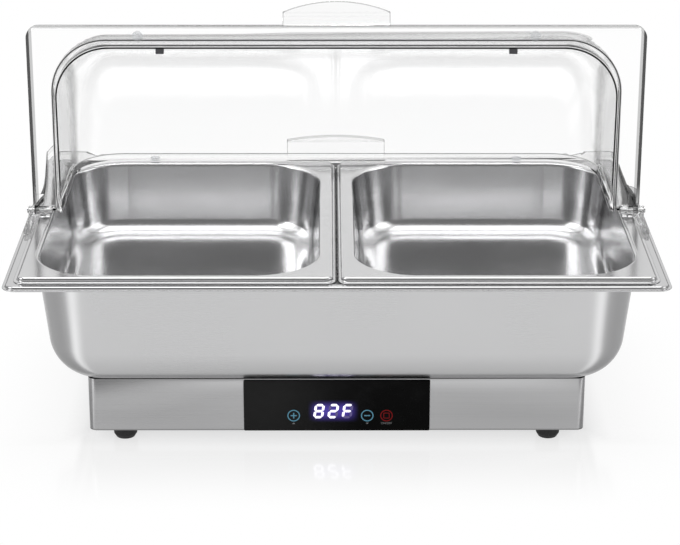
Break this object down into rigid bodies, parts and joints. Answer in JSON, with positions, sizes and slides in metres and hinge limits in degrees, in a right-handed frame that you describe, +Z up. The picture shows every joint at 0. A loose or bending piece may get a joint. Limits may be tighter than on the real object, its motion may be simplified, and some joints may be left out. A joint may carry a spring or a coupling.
{
  "type": "electric chafing dish",
  "caption": "Electric buffet warmer: food pans in a heated steel water pan on a low base with a touch panel, under a clear roll-top lid whose front half swings open.",
  "frame": {"origin": "on the surface that it stands on, under the middle of its whole outline with the rear handle and the front half of the lid open", "axes": "+X to the right seen from the front, +Y to the back, +Z up; the touch panel faces -Y"},
  "size_m": [0.548, 0.3558, 0.3565],
  "materials": {
    "satin_steel": "satin brushed stainless sheet",
    "pan_steel": "polished stainless sheet, fine horizontal grain",
    "food_pan_steel": "stainless sheet, soft satin inside",
    "zinc_plate": "zinc-plated sheet",
    "fastener_steel": "bright zinc",
    "rubber_black": "matt black rubber",
    "panel_black": "glossy black touch panel with lit marks",
    "display": "lit seven-segment module behind the panel",
    "pad_plastic": "touch sensor pads",
    "board_green": "solder-masked circuit board",
    "post_brass": "turned brass posts",
    "post_white": "moulded nylon posts",
    "relay_blue": "relay case",
    "winding_amber": "taped transformer",
    "heater_alloy": "cast aluminium",
    "terminal_brass": "bare brass",
    "cutout_tan": "moulded phenolic",
    "inlet_black": "moulded black nylon",
    "lid_clear": "clear moulded polycarbonate",
    "bumper_clear": "clear soft bumpers",
    "clip_grey": "dark moulded stop pads"
  },
  "bodies": {
    "dish": {"base_shell": "satin_steel", "bottom_plate": "zinc_plate", "bottom_screws": "fastener_steel", "foot_front_left": "rubber_black", "foot_front_right": "rubber_black", "foot_rear_left": "rubber_black", "foot_rear_right": "rubber_black", "foot_screws": "fastener_steel", "control_panel": "panel_black", "led_display": "display", "touch_pads": "pad_plastic", "control_board": "board_green", "board_posts": "post_brass", "board_screws": "fastener_steel", "power_board": "board_green", "power_board_posts": "post_white", "relay": "relay_blue", "transformer": "winding_amber", "heating_plate": "heater_alloy", "heater_terminals": "terminal_brass", "clamp_bars": "fastener_steel", "clamp_spacers": "fastener_steel", "clamp_nuts": "fastener_steel", "pan_studs": "fastener_steel", "thermal_cutout": "cutout_tan", "temperature_probe": "fastener_steel", "power_inlet": "inlet_black", "inlet_pins": "terminal_brass", "inlet_screws": "fastener_steel", "pan_gasket": "rubber_black", "water_pan": "pan_steel", "food_pan_left": "food_pan_steel", "food_pan_right": "food_pan_steel"},
    "lid_rear_half": {"hinge_bracket_left": "lid_clear", "hinge_bracket_right": "lid_clear", "hinge_pin_left": "fastener_steel", "hinge_pin_right": "fastener_steel", "rear_lid": "lid_clear", "rear_lid_bumpers": "bumper_clear", "lid_stop_pads": "clip_grey"},
    "lid_front_half": {"front_lid": "lid_clear", "front_lid_bumpers": "bumper_clear"}
  },
  "joints": [
    {"name": "lid_lift", "type": "slide", "parent": "dish", "child": "lid_rear_half", "axis": [0, 0, 1], "range_m": [0, 0.2]},
    {"name": "front_half_hinge", "type": "hinge", "parent": "lid_rear_half", "child": "lid_front_half", "pos_m": [0, -0.00667, 0.1719], "axis": [1, 0, 0], "range_deg": [0, 90]}
  ]
}
